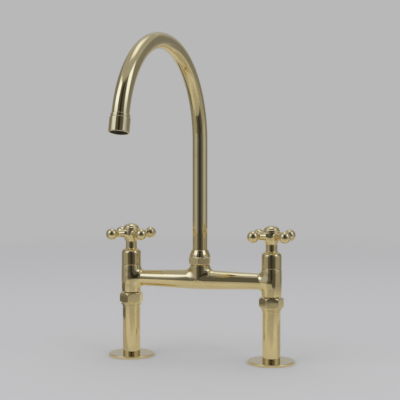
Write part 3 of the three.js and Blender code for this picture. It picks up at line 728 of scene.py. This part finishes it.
def geometryTree(name, numbers):
    tree = bpy.data.node_groups.new(name, "GeometryNodeTree")
    tree.interface.new_socket("Geometry", in_out="INPUT", socket_type="NodeSocketGeometry")
    for label, (kind, value) in numbers.items():
        socket = tree.interface.new_socket(label, in_out="INPUT", socket_type=kind)
        if value is not None:
            socket.default_value = value
    tree.interface.new_socket("Geometry", in_out="OUTPUT", socket_type="NodeSocketGeometry")
    return tree, tree.nodes.new("NodeGroupInput"), tree.nodes.new("NodeGroupOutput")


def mathOf(tree, operation, first, second=0.0):
    return shaderNode(tree, "ShaderNodeMath", {0: first, 1: second}, operation=operation).outputs[0]


# Gives the tree to an empty mesh, sets its inputs, and turns the result into a plain mesh.
def bakeTree(name, tree, values):
    carrier = bpy.data.objects.new(name, bpy.data.meshes.new(name))
    bpy.context.scene.collection.objects.link(carrier)
    modifier = carrier.modifiers.new("build", "NODES")
    modifier.node_group = tree
    for item in tree.interface.items_tree:
        if item.in_out == "INPUT" and item.name in values:
            modifier[item.identifier] = values[item.name]
    built = carrier.evaluated_get(bpy.context.evaluated_depsgraph_get())
    baked = bpy.data.meshes.new_from_object(built)
    carrier.modifiers.clear()
    carrier.data = baked
    baked.name = name
    return carrier


# The path: straight riser, one long arc, then a short straight end inside the outlet.
def spoutTubeTree():
    numbers = {label: ("NodeSocketFloat", 0.0) for label in (
        "Foot", "Spring", "Arc Radius", "Sweep", "Grip", "Turn", "Tube Radius", "Wall")}
    numbers["Steps"] = ("NodeSocketInt", 100)
    numbers["Sides"] = ("NodeSocketInt", 32)
    numbers["Finish"] = ("NodeSocketMaterial", None)
    tree, given, result = geometryTree("spoutTubeTree", numbers)
    size = given.outputs
    line = shaderNode(tree, "GeometryNodeMeshLine", {"Count": size["Steps"]})
    index = shaderNode(tree, "GeometryNodeInputIndex").outputs[0]
    share = mathOf(tree, "DIVIDE", index, mathOf(tree, "SUBTRACT", size["Steps"], 1.0))
    riser = mathOf(tree, "SUBTRACT", size["Spring"], size["Foot"])
    bend = mathOf(tree, "MULTIPLY", size["Arc Radius"], size["Sweep"])
    length = mathOf(tree, "ADD", mathOf(tree, "ADD", riser, bend), size["Grip"])
    travel = mathOf(tree, "MULTIPLY", share, length)
    past = mathOf(tree, "MAXIMUM", mathOf(tree, "SUBTRACT", travel, riser), 0.0)
    angle = mathOf(tree, "DIVIDE", mathOf(tree, "MINIMUM", past, bend), size["Arc Radius"])
    straight = mathOf(tree, "MAXIMUM", mathOf(tree, "SUBTRACT", past, bend), 0.0)
    cosine, sine = mathOf(tree, "COSINE", angle), mathOf(tree, "SINE", angle)
    reach = mathOf(tree, "MULTIPLY", size["Arc Radius"], mathOf(tree, "SUBTRACT", 1.0, cosine))
    reach = mathOf(tree, "ADD", reach, mathOf(tree, "MULTIPLY", straight, sine))
    rise = mathOf(tree, "MULTIPLY", size["Arc Radius"], sine)
    rise = mathOf(tree, "ADD", rise, mathOf(tree, "MULTIPLY", straight, cosine))
    height = mathOf(tree, "ADD", size["Foot"], mathOf(tree, "MINIMUM", travel, riser))
    height = mathOf(tree, "ADD", height, rise)
    back = mathOf(tree, "MULTIPLY", reach, -1.0)
    place = shaderNode(tree, "ShaderNodeCombineXYZ", {
        0: mathOf(tree, "MULTIPLY", back, mathOf(tree, "SINE", size["Turn"])),
        1: mathOf(tree, "MULTIPLY", back, mathOf(tree, "COSINE", size["Turn"])), 2: height})
    laid = shaderNode(tree, "GeometryNodeSetPosition", {
        "Geometry": line.outputs["Mesh"], "Position": place.outputs[0]})
    path = shaderNode(tree, "GeometryNodeMeshToCurve", {"Mesh": laid.outputs["Geometry"]})
    section = shaderNode(tree, "GeometryNodeCurvePrimitiveCircle", {
        "Resolution": size["Sides"], "Radius": size["Tube Radius"]})
    skin = shaderNode(tree, "GeometryNodeCurveToMesh", {
        "Curve": path.outputs["Curve"], "Profile Curve": section.outputs["Curve"]})
    wall = shaderNode(tree, "GeometryNodeExtrudeMesh", {
        "Mesh": skin.outputs["Mesh"], "Offset Scale": mathOf(tree, "MULTIPLY", size["Wall"], -1.0),
        "Individual": False}, mode="FACES")
    inner = shaderNode(tree, "GeometryNodeFlipFaces", {"Mesh": wall.outputs["Mesh"]})
    both = tree.nodes.new("GeometryNodeJoinGeometry")
    tree.links.new(skin.outputs["Mesh"], both.inputs[0])
    tree.links.new(inner.outputs["Mesh"], both.inputs[0])
    closed = shaderNode(tree, "GeometryNodeMergeByDistance", {
        "Geometry": both.outputs["Geometry"], "Distance": 0.00001})
    smooth = shaderNode(tree, "GeometryNodeSetShadeSmooth", {
        "Geometry": closed.outputs["Geometry"], "Shade Smooth": True})
    real = shaderNode(tree, "GeometryNodeRealizeInstances", {"Geometry": smooth.outputs["Geometry"]})
    coat = shaderNode(tree, "GeometryNodeSetMaterial", {
        "Geometry": real.outputs["Geometry"], "Material": size["Finish"]})
    tree.links.new(coat.outputs["Geometry"], result.inputs[0])
    return tree


tube = bakeTree("spoutTube", spoutTubeTree(), {
    "Foot": spout["foot"] * mm, "Spring": spout["spring"] * mm, "Arc Radius": spout["arcRadius"] * mm,
    "Sweep": math.radians(spout["sweep"]), "Grip": spout["grip"] * mm,
    "Turn": math.radians(spout["turn"]), "Tube Radius": spout["tubeRadius"] * mm,
    "Wall": spout["wall"] * mm, "Steps": spout["steps"], "Sides": spout["sides"],
    "Finish": finishes["polished_brass"]})
finishPiece(tube, "spout_tube")


# Millimetres along the outlet's own axis, from the end of the arc.
def outletMatrix():
    sweep, turn = math.radians(spout["sweep"]), math.radians(spout["turn"])
    reach = spout["arcRadius"] * (1 - math.cos(sweep))
    height = spout["spring"] + spout["arcRadius"] * math.sin(sweep)
    place = Vector((-reach * math.sin(turn), -reach * math.cos(turn), height))
    return Matrix.Translation(place) @ Matrix.Rotation(-turn, 4, "Z") @ Matrix.Rotation(sweep, 4, "X")


outlet = {
    "radius": 12.15, "length": 21.5, "top": 4.2, "bevel": 0.7, "bore": 10.6, "stopTop": 7.9,
    "stopFoot": 7.1, "collarRadius": 11.3, "collarLength": 3.9, "insertFoot": 9.5,
    "insertEnd": 19.7, "insertRadius": 10.45, "rimWidth": 1.2, "jetPitch": 5.0, "jetCount": 6,
    "jetBore": 1.0, "jetWall": 0.55, "jetShort": 0.2, "stopWidth": 1.4, "collarGap": 0.1,
}


def housingOutline():
    part = outlet
    return [
        (part["bore"], part["top"]), (part["radius"], part["top"], part["bevel"]),
        (part["radius"], part["length"], 0.8), (part["bore"], part["length"], 0.3),
        (part["bore"], part["stopTop"]), (part["bore"] - part["stopWidth"], part["stopTop"]),
        (part["bore"] - part["stopWidth"], part["stopFoot"]), (part["bore"], part["stopFoot"])]


def collarOutline():
    part = outlet
    return [
        (part["bore"], part["collarGap"]), (part["collarRadius"], part["collarGap"], 0.55),
        (part["collarRadius"], part["collarLength"], 0.2), (part["bore"], part["collarLength"])]


# The insert: a rim round a sunk plate, with short nozzles standing on it round their bores.
def insertField(x, y, z):
    part = outlet
    radius = np.hypot(x, y)
    body = smoothCut(radius - part["insertRadius"], part["insertFoot"] - z, 0.4)
    body = smoothCut(body, z - part["insertEnd"], 0.4)
    rim = part["rimWidth"]
    well = np.maximum(radius - part["insertRadius"] + rim, part["insertEnd"] - rim - z)
    body = smoothCut(body, -well, 0.3)
    bores = radius
    for index in range(part["jetCount"]):
        turn = 2 * math.pi * index / part["jetCount"]
        aside = np.hypot(x - part["jetPitch"] * math.cos(turn), y - part["jetPitch"] * math.sin(turn))
        bores = np.minimum(bores, aside)
    nozzles = smoothCut(
        bores - part["jetBore"] - part["jetWall"], z - part["insertEnd"] + part["jetShort"], 0.2)
    nozzles = np.maximum(nozzles, part["insertFoot"] - z)
    body = smoothJoin(body, nozzles, 0.3)
    return smoothCut(body, part["jetBore"] - bores, 0.15)


finishPiece(turnedPiece("outletCollar", collarOutline(), matrix=outletMatrix()), "outlet_collar")
finishPiece(turnedPiece("outletHousing", housingOutline(), matrix=outletMatrix()), "aerator_housing")
across = gridLine(-11.1, 11.1, 0.33)
along = gridLine(8.9, 20.4, 0.33, (9.5, 18.6, 19.7))
insertPiece = fieldPiece("aeratorInsert", insertField, across, across, along)
laid = outletMatrix()
laid.translation *= mm
insertPiece.data.transform(laid)
finishPiece(insertPiece, "aerator_insert", "grey_plastic")
print("spout made")


# The nodes that keep their own solids, each with its finish: first those at both sides.
sidedFinish = {
    "leg_end_bush": "plain_brass", "union_washer": "black_rubber", "union_tail": "plain_brass",
    "valve_seat_seal": "black_rubber", "valve_cartridge": "plain_brass",
    "valve_disc_fixed": "white_ceramic", "valve_disc_turning": "white_ceramic",
    "valve_spindle": "plain_brass", "spindle_ring": "black_rubber", "handle_screw": "steel",
}
shown = {node + "_" + side: slot for node, slot in sidedFinish.items() for side in ("left", "right")}
shown.update({
    "spout_glide_ring": "white_plastic", "spout_spigot": "plain_brass",
    "spout_ring_lower": "black_rubber", "spout_ring_upper": "black_rubber",
    "aerator_washer": "black_rubber"})
for name, slot in shown.items():
    for holder in nodes[name].material_slots:
        holder.material = finishes[slot]
print("finishes given to", len(shown), "kept nodes")


# Floor, light and camera. Lengths here are metres.
studio = {
    "backdrop": 0.479, "airLight": 0.8, "floorTone": 0.495, "floorRadius": 30.0, "fadeFrom": 0.9,
    "fadeTo": 2.6, "cameraAzimuth": 15.56, "cameraDistance": 1.2863, "cameraHeight": 0.2699,
    "pitch": 2.24, "focalLength": 84.39, "sensorWidth": 36, "clipEnd": 100, "aimHeight": 0.2,
    "blueLean": 1.012, "coolGreen": 0.22, "floorSides": 96,
}


# Azimuths are degrees round the object, from the camera's side.
def placeRound(azimuth, distance, height):
    turn = math.radians(studio["cameraAzimuth"] + azimuth)
    return Vector((math.sin(turn) * distance, -math.cos(turn) * distance, height))


# Metres to the right and away from the camera's side, seen from above.
def placeFlat(aside, away, height):
    turn = math.radians(studio["cameraAzimuth"])
    return Vector((
        math.cos(turn) * aside - math.sin(turn) * away,
        math.sin(turn) * aside + math.cos(turn) * away, height))


# cool is how far the grey leans towards blue
def paleGrey(tone, cool=0.0):
    return (tone, tone * (1 + cool * studio["coolGreen"]), tone * (studio["blueLean"] + cool), 1)


def makeFloor():
    count, radius = studio["floorSides"], studio["floorRadius"]
    points = [(0, 0, 0)]
    for index in range(count):
        angle = 2 * math.pi * index / count
        points.append((radius * math.cos(angle), radius * math.sin(angle), 0))
    faces = [(0, 1 + index, 1 + (index + 1) % count) for index in range(count)]
    mesh = bpy.data.meshes.new("floor")
    mesh.from_pydata(points, [], faces)
    floor = bpy.data.objects.new("floor", mesh)
    bpy.context.scene.collection.objects.link(floor)
    material, tree, shader = newMaterial("paleFloor")
    shader.inputs["Base Color"].default_value = paleGrey(studio["floorTone"])
    shader.inputs["Roughness"].default_value = 0.9
    shader.inputs["Specular IOR Level"].default_value = 0.0
    # far out the floor turns into the backdrop's own tone, so no horizon shows
    glow = shaderNode(tree, "ShaderNodeEmission", {"Color": paleGrey(studio["backdrop"])})
    where = shaderNode(tree, "ShaderNodeTexCoord")
    far = shaderNode(tree, "ShaderNodeVectorMath", {0: where.outputs["Object"]}, operation="LENGTH")
    fade = shaderNode(tree, "ShaderNodeMapRange", {
        "Value": far.outputs["Value"], "From Min": studio["fadeFrom"], "From Max": studio["fadeTo"]},
        interpolation_type="SMOOTHERSTEP")
    mixed = shaderNode(tree, "ShaderNodeMixShader", {
        0: fade.outputs[0], 1: shader.outputs[0], 2: glow.outputs[0]})
    tree.links.new(mixed.outputs[0], tree.nodes["Material Output"].inputs["Surface"])
    mesh.materials.append(material)


# A glowing card, no lamp, that stands or lies round the object and only shows in reflections, so it paints
# a reflection into the metal. Its edges fade out over the given shares of its width and depth: left, right,
# near or low, far or high.
def makeCard(name, azimuths, radii, heights, tone, soft, cool=0.0, place=placeRound):
    columns, rows = 60, 20
    points, cover, faces = [], [], []
    turn, depth, climb = (ends[1] - ends[0] for ends in (azimuths, radii, heights))
    for column in range(columns + 1):
        across = column / columns
        for row in range(rows + 1):
            up = row / rows
            points.append(place(
                azimuths[0] + turn * across, radii[0] + depth * up, heights[0] + climb * up))
            share = 1.0
            for inset, width in zip((across, 1 - across, up, 1 - up), soft):
                ramp = min(1.0, inset / width) if width > 0 else 1.0
                share *= ramp * ramp * (3 - 2 * ramp)
            cover.append(share)
    for column in range(columns):
        for row in range(rows):
            first = column * (rows + 1) + row
            faces.append((first, first + rows + 1, first + rows + 2, first + 1))
    mesh = bpy.data.meshes.new(name)
    mesh.from_pydata(points, [], faces)
    mesh.attributes.new("cover", "FLOAT", "POINT").data.foreach_set("value", cover)
    card = bpy.data.objects.new(name, mesh)
    bpy.context.scene.collection.objects.link(card)
    card.visible_camera = False
    card.visible_diffuse = False
    card.visible_shadow = False
    material, tree, shader = newMaterial(name)
    covered = shaderNode(tree, "ShaderNodeAttribute", attribute_name="cover")
    clear = shaderNode(tree, "ShaderNodeBsdfTransparent")
    # the card's glow is the painted reflection tone that the metal shows
    glow = shaderNode(tree, "ShaderNodeEmission", {"Color": paleGrey(tone, cool)})
    mixed = shaderNode(tree, "ShaderNodeMixShader", {
        0: covered.outputs["Fac"], 1: clear.outputs[0], 2: glow.outputs[0]})
    tree.links.new(mixed.outputs[0], tree.nodes["Material Output"].inputs["Surface"])
    mesh.materials.append(material)


def makeSoftbox(name, azimuth, elevation, distance, size, power):
    lamp = bpy.data.lights.new(name, "AREA")
    lamp.shape = "RECTANGLE"
    lamp.size, lamp.size_y = size
    lamp.energy = power
    box = bpy.data.objects.new(name, lamp)
    rise = math.radians(elevation)
    aim = Vector((0, 0, studio["aimHeight"]))
    height = distance * math.sin(rise) + studio["aimHeight"]
    box.location = placeRound(azimuth, distance * math.cos(rise), height)
    box.rotation_euler = (aim - box.location).to_track_quat("-Z", "Y").to_euler()
    box.visible_glossy = False
    bpy.context.scene.collection.objects.link(box)


# The air is a plain pale grey wherever it is seen, directly or in the metal.
def makeWorld():
    world = bpy.data.worlds.new("studioAir")
    world.use_nodes = True
    tree = world.node_tree
    air = tree.nodes["Background"]
    air.inputs["Color"].default_value = paleGrey(studio["airLight"])
    seen = shaderNode(tree, "ShaderNodeBackground", {"Color": paleGrey(studio["backdrop"])})
    path = shaderNode(tree, "ShaderNodeLightPath")
    look = mathOf(tree, "MAXIMUM", path.outputs["Is Camera Ray"], path.outputs["Is Glossy Ray"])
    look = mathOf(tree, "MAXIMUM", look, path.outputs["Is Transmission Ray"])
    mixed = shaderNode(tree, "ShaderNodeMixShader", {0: look, 1: air.outputs[0], 2: seen.outputs[0]})
    tree.links.new(mixed.outputs[0], tree.nodes["World Output"].inputs["Surface"])
    bpy.context.scene.world = world


def makeCamera():
    lens = bpy.data.cameras.new("camera")
    lens.lens = studio["focalLength"]
    lens.sensor_width = studio["sensorWidth"]
    lens.clip_end = studio["clipEnd"]
    camera = bpy.data.objects.new("camera", lens)
    camera.location = placeRound(0, studio["cameraDistance"], studio["cameraHeight"])
    camera.rotation_euler = (
        math.radians(90 - studio["pitch"]), 0, math.radians(studio["cameraAzimuth"]))
    bpy.context.scene.collection.objects.link(camera)
    bpy.context.scene.camera = camera


# Glowing cards, no lamps, that only the metal shows, so they paint its reflections: dim all round and dark
# in front, tall pale ones at both sides and a pale strip overhead that paint highlights, and flat ones just
# over the floor that paint the floor's reflection darker away from the piece. Each row: azimuths from left
# to right, distances, heights, tone, soft edges, coolness. The strip is laid in metres to the right and
# away from the camera's side instead.
cards = {
    "roundCard": ((-165, 165), (2.6, 2.6), (-0.1, 3.0), 0.19, (0.1, 0.1, 0.0, 0.25), 0.2),
    "backCard": ((150, 210), (2.65, 2.65), (-0.1, 3.0), 0.4, (0.1, 0.1, 0.0, 0.25), 0.2),
    "frontCard": ((-42, 42), (2.4, 1.5), (-0.1, 2.66), 0.095, (0.14, 0.14, 0.0, 0.12), 0.1),
    "frontDarkCard": ((-20, 16), (2.35, 1.45), (-0.1, 2.64), 0.02, (0.4, 0.4, 0.0, 0.25)),
    "lowCardLeft": ((-102, -40), (2.35, 2.35), (-0.1, 0.8), 0.37, (0.35, 0.12, 0.0, 0.5), 0.3),
    "lowCardRight": ((38, 98), (2.35, 2.35), (-0.1, 0.8), 0.4, (0.45, 0.1, 0.0, 0.5), 0.3),
    "tallCardLeft": ((-87, -36), (2.3, 1.7), (0.3, 2.66), 0.95, (0.12, 0.1, 0.55, 0.12), 0.7),
    "tallCardRight": ((39, 81), (2.3, 1.7), (0.3, 2.66), 0.95, (0.14, 0.14, 0.55, 0.12), 0.7),
    "overheadCard": ((-180, 180), (0.05, 2.6), (2.7, 2.7), 0.34, (0, 0, 0, 0.1), 0.2),
    "overheadStrip": (
        (-0.72, 0.75), (-0.55, 2.2), (2.68, 2.68), 0.88, (0.3, 0.3, 0.2, 0.55), 0.5, placeFlat),
    # flat glowing cards just over the floor: they paint the floor's reflection in the metal darker away
    # from the piece
    "nearCardLeft": ((-160, -74), (0.1, 0.42), (0.0028, 0.0028), 0.37, (0.15, 0.15, 0.12, 0.1)),
    "nearCardRight": ((66, 160), (0.1, 0.42), (0.0028, 0.0028), 0.37, (0.15, 0.15, 0.12, 0.1)),
    "flatCardFront": ((-48, 48), (0.12, 2.4), (0.003, 0.003), 0.385, (0.2, 0.2, 0.06, 0.0)),
    "flatCardEdges": ((-158, 158), (0.3, 2.4), (0.0035, 0.0035), 0.19, (0.1, 0.1, 0.3, 0.0), 0.2),
    "flatCardSides": ((-112, 112), (0.35, 2.4), (0.004, 0.004), 0.3, (0.12, 0.12, 0.3, 0.0), 0.05),
    "flatCardLeft": ((-155, -82), (0.38, 0.72), (0.0045, 0.0045), 0.13, (0.12, 0.1, 0.1, 0.12)),
    "farCard": ((-50, 52), (0.57, 2.4), (0.006, 0.006), 0.08, (0.16, 0.16, 0.0, 0.0)),
    "farDarkCard": ((-26, 26), (0.572, 2.4), (0.007, 0.007), 0.03, (0.5, 0.5, 0.0, 0.0)),
}
# Each row: azimuth, elevation, distance, size, power.
lamps = {
    "lampLeft": (-57, 30, 2.0, (1.7, 1.95), 10),
    "lampRight": (57, 30, 2.0, (1.7, 1.95), 10),
    "lampAbove": (170, 75, 2.4, (1.6, 1.6), 6),
}
makeFloor()
makeWorld()
for name, row in cards.items():
    makeCard(name, *row)
for name, row in lamps.items():
    makeSoftbox(name, *row)
makeCamera()
bpy.context.scene.view_settings.view_transform = "Standard"
print("studio made")
